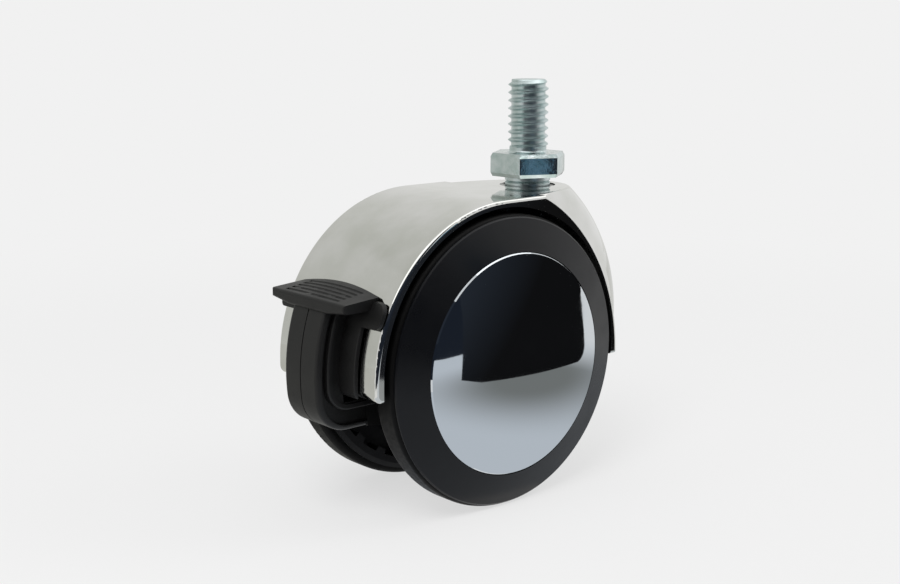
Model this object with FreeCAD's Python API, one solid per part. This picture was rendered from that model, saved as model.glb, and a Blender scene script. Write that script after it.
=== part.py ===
import FreeCAD, Part
import math
import os

# Hooded twin-wheel stem castor with a rear brake lever, in millimetres.
# Everything is drawn about the wheel axle (X forward, Y to the left, Z up) and then moved,
# so that the origin lies on the swivel axis, on the seat that bears against the furniture leg.

# Wheels, given for the left one
wheel_radius = 35.0
tread_inner_y = 13.0
tread_outer_y = 19.6
tread_thickness = 3.0
tread_corner = 1.2
face_flange_step = 0.6
face_flange_width = 0.6
face_flange_corner = 0.3
face_cone_rise = 2.5
face_band = 8.6
rim_lip_reach = 2.0
rim_lip_width = 1.1
rim_lip_rise = 1.2
rim_lip_bevel = 0.4
rim_wall = 1.6
hub_radius = 8.5
hub_recess = 1.6
hub_recess_step = 0.6
hub_side_gap = 0.03
disc_thickness = 2.6
rib_count = 8
rib_thickness = 1.6
rib_height = 3.0
rib_stop = 4.3

# Brake teeth inside each rim
tooth_count = 24
tooth_height = 1.3
tooth_width = 4.0
tooth_land = 2.6
tooth_foot = 3.4
tooth_end_gap = 1.0

# Hub caps
cap_sheet = 1.2
cap_rise = 1.9
cap_stand = 0.2
cap_edge_height = 1.2
cap_edge_round = 0.3
cap_lap = 2.2
cap_spigot_wall = 1.2
cap_spigot_depth = 2.0
cap_gap = 0.1

# Axle and what holds the wheels on it
axle_radius = 4.0
axle_end_stand = 0.4
axle_chamfer = 0.5
axle_clearance = 0.05
washer_thickness = 1.0
washer_step = 1.0
retainer_thickness = 1.2
retainer_rim = 0.5
retainer_gap = 0.3
retainer_side_gap = 0.7
retainer_collar_wall = 1.4
retainer_collar_height = 0.5
seat_gap = 0.02

# Hood
arch_gap = 1.5
hood_half_width = 18.8
roof_wall = 1.7
rear_wall = 2.2
rear_centre_drop = 0.5
front_bulge = 10.5
front_centre_back = 8.3
front_centre_drop = 3.8
rear_lip_drop = 3.6
rear_lip_round = 2.0
front_lip_drop = 4.2
hood_edge_round = 0.8
nose_bend = 26.1
nose_step = 0.8
nose_centre_back = 19.6
nose_centre_drop = 33.1
nose_top_round = 1.2
nose_wall = 2.5
web_half_thickness = 3.0
web_overlap = 1.0
web_back_angle = 133.0
web_crown_angle = 75.0
web_front_angle = 14.0
web_boss_back_angle = 190.0
web_boss_front_angle = 300.0
axle_boss_radius = 8.6
axle_boss_half_length = 9.0
pivot_arm_step = 0.6

# Swivel stem
trail = 24.7
thread_radius = 5.0
thread_length = 18.0
thread_chamfer = 0.9
hex_across_flats = 17.0
hex_height = 5.8
hex_turn = 34.5
hex_bevel = 0.8
neck_radius = 5.7
neck_gap = 2.4
neck_root = 0.5
neck_groove_depth = 0.4
neck_groove_width = 0.6
neck_groove_drop = 1.1
pintle_tail = 3.7
pintle_chamfer = 0.6
running_clearance = 0.05
bush_wall = 1.2
bush_length = 13.5
bush_sink = 0.3
socket_wall = 2.4
socket_floor = 2.5
thrust_disc_thickness = 1.5
ring_thickness = 1.0
ring_below_bush = 1.0
ring_groove_depth = 0.9
ring_stand = 0.9
ring_slot_gap = 0.25
ring_opening = 3.0

# Brake lever
lever_gap = 0.3
lever_base = 0.9
lever_lower_step = 2.0
lever_rib = 1.3
lever_upper_step = 1.1
lever_flange = 1.3
lever_rib_half_width = 7.2
lever_lower_narrowing = 0.4
lever_recess_step = 1.7
lever_flange_step = 0.7
lever_flange_round = 1.2
lever_rib_round = 0.5
lever_base_step = 6.2
lever_base_round = 0.4
lever_seam_depth = 0.25
lever_seam_half_width = 0.15
lever_head_step = 0.2
lever_head_thickness = 1.0
lever_head_top_z = 18.4
lever_head_height = 5.5
lever_head_top_round = 2.6
lever_head_low_round = 1.4
lever_top_z = 17.4
lever_lip_gap = 1.9
lever_foot_slack = 0.2
lever_foot_lift = 2.6
lever_foot_inner_round = 1.7
lever_foot_reach = 9.2
pedal_half_width = 14.0
pedal_inset = 2.1
pedal_tip_z = 18.5
pedal_root_x = -33.0
pedal_root_z = 19.3
pedal_crown = 1.3
pedal_edge = 2.0
pedal_keel = 0.9
pedal_tip_round = 0.8
groove_count = 5
groove_pitch = 1.6
groove_edge = 1.7
groove_radius = 0.5
groove_depth = 0.3
groove_half_length = 10.0
pivot_inset = 6.6
pivot_drop = 9.0
pivot_pin_radius = 2.5
pivot_boss_wall = 1.9
pivot_clearance = 0.05
fork_gap = 0.35
fork_cheek = 3.15
fork_foot_lap = 2.0
lock_bar_radius = 1.5
lock_bar_gap = 0.4
lock_bar_drop = 3.2
lock_bar_end_gap = 0.7
lock_eye_wall = 1.6
brake_travel = 14.0

# How far a cutter runs past the face it opens
overrun = 1.0

# Wheel sizes that follow
rim_radius = wheel_radius - tread_thickness
tooth_root_radius = rim_radius - rim_wall
tooth_tip_radius = tooth_root_radius - tooth_height
rib_outer_radius = tooth_tip_radius - rib_stop
face_flange_radius = wheel_radius - face_flange_step
cap_radius = wheel_radius - face_band
cap_spigot_radius = cap_radius - cap_lap
face_crown_y = tread_outer_y + face_flange_width + face_cone_rise
rim_inner_y = tread_inner_y - rim_lip_reach
disc_inner_y = rim_inner_y + tooth_width + tooth_end_gap
disc_outer_y = disc_inner_y + disc_thickness
rib_inner_y = disc_inner_y - rib_height
hub_inner_y = axle_boss_half_length + seat_gap + washer_thickness + hub_side_gap
hub_outer_y = disc_outer_y - hub_recess
hub_bore = axle_radius + axle_clearance
hub_recess_radius = hub_radius - hub_recess_step
washer_radius = hub_radius - washer_step
retainer_radius = hub_recess_radius - retainer_side_gap
retainer_collar_radius = axle_radius + retainer_collar_wall
axle_half_length = hub_outer_y + retainer_gap + retainer_thickness + axle_end_stand

# Hood and stem sizes that follow
arch_radius = wheel_radius + arch_gap
rear_radius = arch_radius + rear_wall
roof_height = arch_radius + roof_wall
front_radius = arch_radius + front_bulge
nose_radius = hood_half_width - nose_step
nose_centre_x = trail - nose_centre_back
nose_centre_z = roof_height - nose_centre_drop
pivot_boss_radius = pivot_pin_radius + pivot_boss_wall
pivot_x = pivot_inset - tooth_tip_radius
pivot_z = -pivot_drop
hex_bottom_z = roof_height + neck_gap
seat_z = hex_bottom_z + hex_height
bush_bore = neck_radius + running_clearance
bush_radius = bush_bore + bush_wall
bush_bottom_z = roof_height - bush_length
ring_top_z = bush_bottom_z - ring_below_bush
ring_bottom_z = ring_top_z - ring_thickness
ring_outer_radius = neck_radius + ring_stand
ring_inner_radius = neck_radius - ring_groove_depth
pintle_bottom_z = ring_bottom_z - pintle_tail
thrust_disc_bottom_z = pintle_bottom_z - seat_gap - thrust_disc_thickness
socket_radius = bush_radius + socket_wall
socket_bottom_z = thrust_disc_bottom_z - seat_gap - socket_floor

# Brake sizes that follow
lever_inner_radius = rear_radius + lever_gap
lever_depth = lever_base + lever_lower_step + lever_rib + lever_upper_step + lever_flange
lever_outer_radius = lever_inner_radius + lever_depth
lever_recess_half_width = lever_rib_half_width - lever_recess_step
lever_lower_half_width = lever_rib_half_width - lever_lower_narrowing
lever_flange_half_width = lever_rib_half_width - lever_flange_step
lever_base_half_width = hood_half_width - lever_base_step
lever_head_half_width = hood_half_width - lever_head_step
lever_head_low_z = lever_head_top_z - lever_head_height
lever_foot_drop = rear_lip_drop + lever_lip_gap + lever_foot_slack + lever_depth
lever_foot_round = lever_depth + lever_foot_inner_round
lever_foot_front_x = lever_foot_reach - lever_inner_radius
pedal_tip_x = pedal_inset - lever_outer_radius
fork_inner_y = web_half_thickness + fork_gap
fork_outer_y = fork_inner_y + fork_cheek
lock_bar_orbit = tooth_tip_radius - lock_bar_gap - lock_bar_radius
lock_bar_x = -math.sqrt(lock_bar_orbit ** 2 - lock_bar_drop ** 2)
lock_bar_z = -lock_bar_drop
lock_bar_half_length = rim_inner_y + tooth_width - lock_bar_end_gap
lock_eye_radius = lock_bar_radius + lock_eye_wall

ORIGIN = FreeCAD.Vector(0, 0, 0)
Y_AXIS = FreeCAD.Vector(0, 1, 0)
Z_AXIS = FreeCAD.Vector(0, 0, 1)
CLOSE = 0.01


def point(x, y, z):
    return FreeCAD.Vector(x, y, z)


def polar(radius, degrees, centre_x=0.0, centre_z=0.0):
    """A point in the side view, at an angle from the forward direction."""
    a = math.radians(degrees)
    return point(centre_x + radius * math.cos(a), 0, centre_z + radius * math.sin(a))


def line(start, end):
    return Part.LineSegment(start, end).toShape()


def arc(start, middle, end):
    return Part.Arc(start, middle, end).toShape()


def face(edges):
    return Part.Face(Part.Wire(edges))


def polygon(corners):
    return Part.Face(Part.makePolygon(corners + corners[:1]))


def slab(flat, y_from, y_to):
    """A flat side-view outline made solid between two widths."""
    moved = flat.copy()
    moved.translate(point(0, y_from, 0))
    return moved.extrude(point(0, y_to - y_from, 0))


def disc(radius, x, z, y_from, y_to):
    """A round solid that lies across the castor, like a pin or an axle."""
    return Part.makeCylinder(radius, y_to - y_from, point(x, y_from, z), Y_AXIS)


def bar(radius, x, z, half_length):
    return disc(radius, x, z, -half_length, half_length)


def upright(radius, z_from, z_to):
    """A round solid on the swivel axis."""
    return Part.makeCylinder(radius, z_to - z_from, point(trail, 0, z_from), Z_AXIS)


def box(x_from, x_to, y_from, y_to, z_from, z_to):
    return Part.makeBox(x_to - x_from, y_to - y_from, z_to - z_from, point(x_from, y_from, z_from))


def turned_on_axle(section):
    """Revolve a section of (radius, y) points about the axle."""
    flat = polygon([point(r, y, 0) for r, y in section])
    return flat.revolve(ORIGIN, Y_AXIS, 360)


def turned_on_stem(section):
    """Revolve a section of (radius, z) points about the swivel axis."""
    flat = polygon([point(trail + r, 0, z) for r, z in section])
    return flat.revolve(point(trail, 0, 0), Z_AXIS, 360)


def fused(shapes):
    return shapes[0].multiFuse(shapes[1:]).removeSplitter()


def save(name, shape):
    """Move a finished piece to the seat's frame and write it under its own name."""
    solids = shape.Solids
    moved = solids[0] if len(solids) == 1 else Part.makeCompound(solids)
    moved.translate(point(-trail, 0, -seat_z))
    moved.exportStep("parts/" + name + ".step")
    room = moved.BoundBox
    print(name, "solids", len(solids), "valid", moved.isValid(), "volume %.1f" % moved.Volume,
          "x %.1f %.1f y %.1f %.1f" % (room.XMin, room.XMax, room.YMin, room.YMax),
          "z %.1f %.1f" % (room.ZMin, room.ZMax))


def hood_side_outline():
    """The hood from the side: round behind, flat on top, a corner, then the front curve."""
    lip_low = point(rear_lip_round - rear_radius, 0, -rear_lip_drop)
    lip_high = point(-rear_radius, 0, rear_lip_round - rear_lip_drop)
    lip_middle = polar(rear_lip_round, 225, lip_low.x, lip_high.z)
    rear_start = point(-rear_radius, 0, -rear_centre_drop)
    rear_rise = min(1.0, (roof_height + rear_centre_drop) / rear_radius)
    rear_top_angle = 180 - math.degrees(math.asin(rear_rise))
    rear_middle = polar(rear_radius, (180 + rear_top_angle) / 2, 0, -rear_centre_drop)
    rear_end = polar(rear_radius, rear_top_angle, 0, -rear_centre_drop)
    front_rise = roof_height + front_centre_drop
    corner_angle = math.degrees(math.asin(front_rise / front_radius))
    corner = polar(front_radius, corner_angle, -front_centre_back, -front_centre_drop)
    front_middle = polar(front_radius, corner_angle / 2, -front_centre_back, -front_centre_drop)
    front_end = point(front_radius - front_centre_back, 0, -front_centre_drop)
    front_foot = point(front_end.x, 0, -front_lip_drop)
    return face([arc(lip_low, lip_middle, lip_high), line(lip_high, rear_start),
                 arc(rear_start, rear_middle, rear_end), line(rear_end, corner),
                 arc(corner, front_middle, front_end), line(front_end, front_foot),
                 line(front_foot, lip_low)])


def nose_solid(inset):
    """The rounded nose that carries the stem; inset makes the hollow inside it."""
    ring = Part.makeTorus(nose_bend, nose_radius - inset, point(nose_centre_x, 0, nose_centre_z),
                          Y_AXIS)
    return ring.common(box(nose_centre_x, 2 * wheel_radius, -hood_half_width, hood_half_width,
                           -front_lip_drop, roof_height - inset))


def hood_skin():
    """Outer form of the hood, still solid."""
    cover = slab(hood_side_outline(), -hood_half_width, hood_half_width)
    foot = -max(rear_lip_drop, front_lip_drop)
    rim = [edge for edge in cover.Edges
           if abs(abs(edge.CenterOfMass.y) - hood_half_width) < CLOSE
           and edge.CenterOfMass.z > foot / 2]
    cover = cover.makeFillet(min(hood_edge_round, roof_wall - overrun / 2), rim)
    skin = fused([cover, nose_solid(0.0)])
    brow = [edge for edge in skin.Edges
            if edge.BoundBox.ZMin > roof_height - CLOSE and edge.Curve.TypeId != "Part::GeomLine"]
    return skin.makeFillet(nose_top_round, brow)


def web():
    """The flat web in the mid-plane that joins roof, axle boss, stem socket and brake pivot."""
    reach = arch_radius + web_overlap
    back_top = polar(reach, web_back_angle)
    front_low = polar(reach, web_front_angle)
    boss_back = polar(axle_boss_radius, web_boss_back_angle)
    boss_front = polar(axle_boss_radius, web_boss_front_angle)
    outline = face([line(boss_back, back_top),
                    arc(back_top, polar(reach, web_crown_angle), front_low),
                    line(front_low, boss_front), line(boss_front, boss_back)])
    return slab(outline, -web_half_thickness, web_half_thickness)


def pivot_arm():
    """The arm of the web that reaches back to the brake pivot."""
    length = math.hypot(pivot_x, pivot_z)
    side_x = -pivot_z / length
    side_z = pivot_x / length
    wide = axle_boss_radius - pivot_arm_step
    narrow = pivot_boss_radius
    corners = [point(side_x * wide, 0, side_z * wide),
               point(pivot_x + side_x * narrow, 0, pivot_z + side_z * narrow),
               point(pivot_x - side_x * narrow, 0, pivot_z - side_z * narrow),
               point(-side_x * wide, 0, -side_z * wide)]
    arm = slab(polygon(corners), -web_half_thickness, web_half_thickness)
    return arm.fuse(bar(pivot_boss_radius, pivot_x, pivot_z, web_half_thickness))


def hood():
    """One plated casting: skin, nose, web, axle boss, stem socket and brake pivot."""
    through = hood_half_width + overrun
    wheel_room = bar(arch_radius, 0, 0, through)
    below = box(-arch_radius, arch_radius, -through, through, -wheel_radius, 0)
    shell = hood_skin().cut(wheel_room).cut(below).cut(nose_solid(nose_wall))
    axle_boss = bar(axle_boss_radius, 0, 0, axle_boss_half_length)
    socket = upright(socket_radius, socket_bottom_z, roof_height - nose_wall / 2)
    body = fused([shell, web(), pivot_arm(), axle_boss, socket])
    bush_seat = upright(bush_radius + seat_gap, bush_bottom_z, roof_height + overrun)
    pintle_room = upright(bush_bore, thrust_disc_bottom_z - seat_gap, bush_bottom_z + overrun)
    ring_room = upright(ring_outer_radius + ring_slot_gap, ring_bottom_z - ring_slot_gap,
                        ring_top_z + ring_slot_gap)
    axle_hole = bar(axle_radius + seat_gap, 0, 0, through)
    pivot_hole = bar(pivot_pin_radius + seat_gap, pivot_x, pivot_z, through)
    for cutter in (bush_seat, pintle_room, ring_room, axle_hole, pivot_hole):
        body = body.cut(cutter)
    return body


def hexagon():
    """The stem's spanner hexagon, with a straight bevel along every end edge."""
    across_corners = hex_across_flats / math.cos(math.radians(30)) / 2
    corners = []
    for index in range(6):
        a = math.radians(hex_turn + 60 * index)
        corners.append(point(trail + across_corners * math.cos(a), across_corners * math.sin(a),
                             hex_bottom_z))
    prism = polygon(corners).extrude(point(0, 0, hex_height))
    ends = [edge for edge in prism.Edges
            if min(abs(edge.CenterOfMass.z - z) for z in (hex_bottom_z, seat_z)) < CLOSE]
    return prism.makeChamfer(hex_bevel, ends)


def stem():
    """Threaded shank, hexagon, neck and pintle, turned and pressed from one bar."""
    top = seat_z + thread_length
    neck_top = hex_bottom_z + neck_root
    groove_top = hex_bottom_z - neck_groove_drop
    groove_bottom = groove_top - neck_groove_width
    groove = (neck_radius - neck_groove_depth, (groove_top + groove_bottom) / 2)
    shaft = turned_on_stem([(0, pintle_bottom_z), (neck_radius - pintle_chamfer, pintle_bottom_z),
                            (neck_radius, pintle_bottom_z + pintle_chamfer),
                            (neck_radius, ring_bottom_z), (ring_inner_radius, ring_bottom_z),
                            (ring_inner_radius, ring_top_z), (neck_radius, ring_top_z),
                            (neck_radius, groove_bottom), groove, (neck_radius, groove_top),
                            (neck_radius, neck_top), (thread_radius, neck_top),
                            (thread_radius, top - thread_chamfer),
                            (thread_radius - thread_chamfer, top), (0, top)])
    return fused([shaft, hexagon()])


def socket_bush():
    """Steel sleeve pressed into the casting, in which the pintle turns."""
    sleeve = upright(bush_radius, bush_bottom_z, roof_height - bush_sink)
    return sleeve.cut(upright(bush_bore, bush_bottom_z - overrun, roof_height + overrun))


def snap_ring():
    """Open spring ring in the pintle's groove, which keeps the stem in its socket."""
    ring = upright(ring_outer_radius, ring_bottom_z + seat_gap, ring_top_z - seat_gap)
    ring = ring.cut(upright(ring_inner_radius + seat_gap, ring_bottom_z, ring_top_z))
    opening = box(trail, trail + ring_outer_radius + overrun, -ring_opening / 2, ring_opening / 2,
                  ring_bottom_z, ring_top_z)
    return ring.cut(opening)


def thrust_disc():
    """Hardened disc under the end of the pintle."""
    top = thrust_disc_bottom_z + thrust_disc_thickness
    return upright(bush_bore - seat_gap, thrust_disc_bottom_z, top)


def axle():
    end = axle_half_length
    nib = axle_radius - axle_chamfer
    return turned_on_axle([(0, -end), (nib, -end), (axle_radius, axle_chamfer - end),
                           (axle_radius, end - axle_chamfer), (nib, end), (0, end)])


def wheel_washer():
    """Left washer between the axle boss and the hub."""
    start = axle_boss_half_length + seat_gap
    inner = axle_radius + seat_gap
    return turned_on_axle([(inner, start), (washer_radius, start),
                           (washer_radius, start + washer_thickness),
                           (inner, start + washer_thickness)])


def axle_retainer():
    """Left push-on retainer on the end of the axle."""
    start = hub_outer_y + retainer_gap
    inner = axle_radius + seat_gap
    top = start + retainer_thickness
    crown = top + retainer_collar_height
    collar_top_radius = retainer_collar_radius - retainer_collar_height
    return turned_on_axle([(inner, start), (retainer_radius, start),
                           (retainer_radius, start + retainer_rim), (retainer_collar_radius, top),
                           (collar_top_radius, crown), (inner, crown)])


def lock_bar_angle():
    """Angle about the axle at which the lock bar enters the teeth when the brake is on."""
    a = math.radians(brake_travel)
    dx = lock_bar_x - pivot_x
    dz = lock_bar_z - pivot_z
    x = pivot_x + dx * math.cos(a) - dz * math.sin(a)
    z = pivot_z + dx * math.sin(a) + dz * math.cos(a)
    return math.degrees(math.atan2(z, x))


def brake_teeth():
    """Teeth round the inside of the left rim, with one gap where the lock bar enters."""
    pitch = 360.0 / tooth_count
    outer = rim_radius - rim_wall / 4
    outline = polygon([point(tooth_tip_radius, 0, -tooth_land / 2), point(outer, 0, -tooth_foot / 2),
                       point(outer, 0, tooth_foot / 2), point(tooth_tip_radius, 0, tooth_land / 2)])
    teeth = []
    for index in range(tooth_count):
        tooth = slab(outline, rim_inner_y, rim_inner_y + tooth_width)
        tooth.rotate(ORIGIN, Y_AXIS, -(lock_bar_angle() + pitch / 2 + pitch * index))
        teeth.append(tooth)
    return teeth


def wheel_ribs():
    ribs = []
    lap = disc_thickness / 4
    for index in range(rib_count):
        rib = box(hub_radius - lap, rib_outer_radius, rib_inner_y, disc_inner_y + lap,
                  -rib_thickness / 2, rib_thickness / 2)
        rib.rotate(ORIGIN, Y_AXIS, 360.0 / rib_count * (index + 0.5))
        ribs.append(rib)
    return ribs


def wheel_core():
    """Left wheel centre, moulded in one piece: hub, disc, ribs, rim, brake teeth and face."""
    lip = rim_radius + rim_lip_rise
    flange_y = tread_outer_y + face_flange_width
    cap_seat = cap_radius + cap_gap
    cap_seat_y = face_crown_y - cap_edge_height
    body = turned_on_axle([
        (hub_bore, hub_inner_y), (hub_radius, hub_inner_y), (hub_radius, disc_inner_y),
        (tooth_root_radius, disc_inner_y), (tooth_root_radius, rim_inner_y),
        (rim_radius, rim_inner_y), (lip, rim_inner_y + rim_lip_bevel),
        (lip, rim_inner_y + rim_lip_width), (rim_radius, tread_inner_y),
        (rim_radius, tread_outer_y), (face_flange_radius, tread_outer_y),
        (face_flange_radius, flange_y - face_flange_corner),
        (face_flange_radius - face_flange_corner, flange_y), (cap_seat, face_crown_y),
        (cap_seat, cap_seat_y), (cap_spigot_radius, cap_seat_y),
        (cap_spigot_radius, disc_outer_y), (hub_radius, disc_outer_y),
        (hub_recess_radius, hub_outer_y), (hub_bore, hub_outer_y)])
    return fused([body] + wheel_ribs() + brake_teeth())


def tyre():
    """Left tread band, held between the rim's lip and the wheel's face."""
    inner = rim_radius + seat_gap
    y_in = tread_inner_y + seat_gap
    y_out = tread_outer_y - seat_gap
    shoulder = wheel_radius - tread_corner
    k = tread_corner * (1 - math.sqrt(0.5))
    corners = [point(inner, y_in, 0), point(shoulder, y_in, 0),
               point(wheel_radius, y_in + tread_corner, 0),
               point(wheel_radius, y_out - tread_corner, 0), point(shoulder, y_out, 0),
               point(inner, y_out, 0)]
    section = face([line(corners[0], corners[1]),
                    arc(corners[1], point(wheel_radius - k, y_in + k, 0), corners[2]),
                    line(corners[2], corners[3]),
                    arc(corners[3], point(wheel_radius - k, y_out - k, 0), corners[4]),
                    line(corners[4], corners[5]), line(corners[5], corners[0])])
    return section.revolve(ORIGIN, Y_AXIS, 360)


def cap_ball(radius, crown_y):
    """A ball whose left side is a cap's dome, with its seam and poles far from the dome."""
    return Part.makeSphere(radius, point(0, crown_y - radius, 0), Z_AXIS)


def hub_cap():
    """Left domed cap, a thin pressing with a spigot that snaps into the wheel."""
    floor_y = face_crown_y - cap_edge_height + seat_gap
    rim_y = face_crown_y + cap_stand
    crown_y = rim_y + cap_rise
    edge = cap_radius - cap_edge_round
    spigot = cap_spigot_radius - cap_gap
    spigot_in = spigot - cap_spigot_wall
    spigot_y = floor_y - cap_spigot_depth
    sphere = (edge ** 2 + cap_rise ** 2) / (2 * cap_rise)
    over = cap_rise + overrun
    blank = turned_on_axle([(0, floor_y), (cap_radius, floor_y),
                            (cap_radius, rim_y - cap_edge_round), (edge - over, rim_y + over),
                            (0, rim_y + over)])
    dome = blank.common(cap_ball(sphere, crown_y))
    ring = disc(spigot, 0, 0, spigot_y, floor_y + cap_gap)
    hollow = disc(spigot_in, 0, 0, spigot_y - overrun, crown_y)
    return fused([dome, ring]).cut(hollow.common(cap_ball(sphere - cap_sheet, crown_y - cap_sheet)))


def lever_contour(inset, lift, half_width, edge_round=0.0):
    """Everything inside the lever's outer contour, moved in by inset, as a solid."""
    low = inset + lift - lever_foot_drop
    radius = lever_outer_radius - inset
    block = box(-2 * wheel_radius, lever_foot_front_x, -half_width, half_width, low, lever_top_z)
    solid = block.common(bar(radius, 0, 0, half_width))
    corner_x = -math.sqrt(radius ** 2 - low ** 2)
    corner = [edge for edge in solid.Edges
              if abs(edge.CenterOfMass.x - corner_x) < CLOSE
              and abs(edge.CenterOfMass.z - low) < CLOSE]
    solid = solid.makeFillet(lever_foot_round - inset, corner)
    if edge_round == 0.0:
        return solid
    rims = [edge for edge in solid.Edges
            if abs(abs(edge.CenterOfMass.y) - half_width) < CLOSE
            and edge.CenterOfMass.z < lever_top_z - CLOSE
            and edge.CenterOfMass.x < lever_foot_front_x - CLOSE]
    return solid.makeFillet(edge_round, rims)


def lever_spine():
    """The stepped spine: flange, recess, rib, recess, and the wide base behind the hood."""
    steps = [(lever_flange, 0.0, lever_flange_half_width, lever_flange_round),
             (lever_upper_step, lever_foot_lift, lever_recess_half_width, 0.0),
             (lever_rib, 0.0, lever_rib_half_width, lever_rib_round),
             (lever_lower_step, 0.0, lever_lower_half_width, 0.0),
             (lever_base, 0.0, lever_rib_half_width, 0.0)]
    layers = []
    inset = 0.0
    lift = 0.0
    for depth, rise, half_width, edge_round in steps:
        outer = lever_contour(inset, lift, half_width, edge_round)
        inset += depth
        lift += rise
        layers.append(outer.cut(lever_contour(inset, lift, half_width)))
    base = lever_contour(lever_depth - lever_base, lift, lever_base_half_width, lever_base_round)
    above_lip = box(-2 * wheel_radius, 0, -hood_half_width, hood_half_width, -rear_lip_drop,
                    lever_top_z)
    return layers + [base.common(above_lip)]


def lever_seam():
    """The fine parting line down the middle of the lever's outer face."""
    outer = lever_contour(0.0, 0.0, lever_seam_half_width)
    return outer.cut(lever_contour(lever_seam_depth, 0.0, lever_seam_half_width))


def lever_head():
    """The wide flange at the top of the lever, which wraps round the back of the hood."""
    band = bar(lever_inner_radius + lever_head_thickness, 0, 0, lever_head_half_width)
    length = 2 * wheel_radius
    window = box(-length, 0, -lever_head_half_width, lever_head_half_width, lever_head_low_z,
                 lever_head_top_z)
    for level, radius in ((lever_head_top_z, lever_head_top_round),
                          (lever_head_low_z, lever_head_low_round)):
        along = [edge for edge in window.Edges
                 if abs(edge.Length - length) < CLOSE and abs(edge.CenterOfMass.z - level) < CLOSE]
        window = window.makeFillet(radius, along)
    return band.common(window)


def pedal_section(x, side_z, crown):
    """The foot pad cut across at one x: arched on top, a little deeper in the middle below."""
    low = pedal_tip_z - pedal_edge
    keel = low - pedal_keel
    half = pedal_half_width
    inner = lever_rib_half_width
    corners = [point(x, half, side_z), point(x, half, low), point(x, inner, keel),
               point(x, -inner, keel), point(x, -half, low), point(x, -half, side_z)]
    edges = [line(corners[index], corners[index + 1]) for index in range(5)]
    if crown == 0.0:
        return Part.Wire(edges + [line(corners[5], corners[0])])
    return Part.Wire(edges + [arc(corners[5], point(x, 0, side_z + crown), corners[0])])


def pedal():
    """Grooved foot pad, level at its tip and arched where it meets the hood."""
    pad = Part.makeLoft([pedal_section(pedal_tip_x, pedal_tip_z, 0.0),
                         pedal_section(pedal_root_x, pedal_root_z, pedal_crown)], True, True)
    tips = [edge for edge in pad.Edges
            if abs(edge.CenterOfMass.x - pedal_tip_x) < CLOSE]
    pad = pad.makeFillet(pedal_tip_round, tips)
    for index in range(groove_count):
        x = pedal_tip_x + groove_edge + groove_pitch * index
        share = (x - pedal_tip_x) / (pedal_root_x - pedal_tip_x)
        level = pedal_tip_z + groove_radius - groove_depth
        side_z = level + share * (pedal_root_z - pedal_tip_z)
        end_crown = share * pedal_crown * (1 - (groove_half_length / pedal_half_width) ** 2)
        ends = [point(x, y, side_z + end_crown) for y in (-groove_half_length, groove_half_length)]
        path = arc(ends[0], point(x, 0, side_z + share * pedal_crown), ends[1])
        rod = Part.Wire(Part.makeCircle(groove_radius, ends[0], path.tangentAt(path.FirstParameter)))
        pad = pad.cut(Part.Wire(path).makePipeShell([rod], True, False))
    return pad


def lever_fork():
    """Two cheeks inside the hood that carry the pivot pin and the lock bar."""
    foot_x = lever_foot_front_x - fork_foot_lap
    outline = polygon([point(foot_x, 0, -lever_foot_drop),
                       point(pivot_x, 0, pivot_z - pivot_boss_radius),
                       point(pivot_x + pivot_boss_radius, 0, pivot_z),
                       point(lock_bar_x + lock_eye_radius, 0, lock_bar_z),
                       point(lock_bar_x - lock_eye_radius, 0, lock_bar_z),
                       point(foot_x, 0, lever_depth - lever_foot_drop)])
    cheeks = []
    for y_from, y_to in ((fork_inner_y, fork_outer_y), (-fork_outer_y, -fork_inner_y)):
        cheeks += [slab(outline, y_from, y_to), disc(pivot_boss_radius, pivot_x, pivot_z, y_from, y_to),
                   disc(lock_eye_radius, lock_bar_x, lock_bar_z, y_from, y_to)]
    return cheeks


def brake_lever():
    """One black moulding: pedal, stepped spine, hooked foot and fork."""
    body = fused(lever_spine() + [lever_head(), pedal()])
    reach = 2 * wheel_radius
    lip_room = box(-reach, reach, -hood_half_width, hood_half_width, -rear_lip_drop - lever_lip_gap,
                   reach)
    body = body.cut(bar(lever_inner_radius, 0, 0, hood_half_width).common(lip_room))
    body = fused([body] + lever_fork()).cut(lever_seam())
    pin_hole = bar(pivot_pin_radius + pivot_clearance, pivot_x, pivot_z, hood_half_width)
    bar_hole = bar(lock_bar_radius + seat_gap, lock_bar_x, lock_bar_z, hood_half_width)
    return body.cut(pin_hole).cut(bar_hole)


def main():
    os.makedirs("parts", exist_ok=True)
    save("stem", stem())
    save("snap_ring", snap_ring())
    save("hood", hood())
    save("socket_bush", socket_bush())
    save("thrust_disc", thrust_disc())
    save("axle", axle())
    save("brake_pivot_pin", bar(pivot_pin_radius, pivot_x, pivot_z, fork_outer_y))
    save("brake_lever", brake_lever())
    save("lock_bar", bar(lock_bar_radius, lock_bar_x, lock_bar_z, lock_bar_half_length))
    left_pieces = {"wheel_core": wheel_core(), "tyre": tyre(), "hub_cap": hub_cap(),
                   "wheel_washer": wheel_washer(), "axle_retainer": axle_retainer()}
    for name, shape in left_pieces.items():
        save(name + "_right", shape.mirror(ORIGIN, Y_AXIS))
        save(name + "_left", shape)


main()
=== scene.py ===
import math

import bmesh
import bpy
from mathutils import Matrix, Vector


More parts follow.
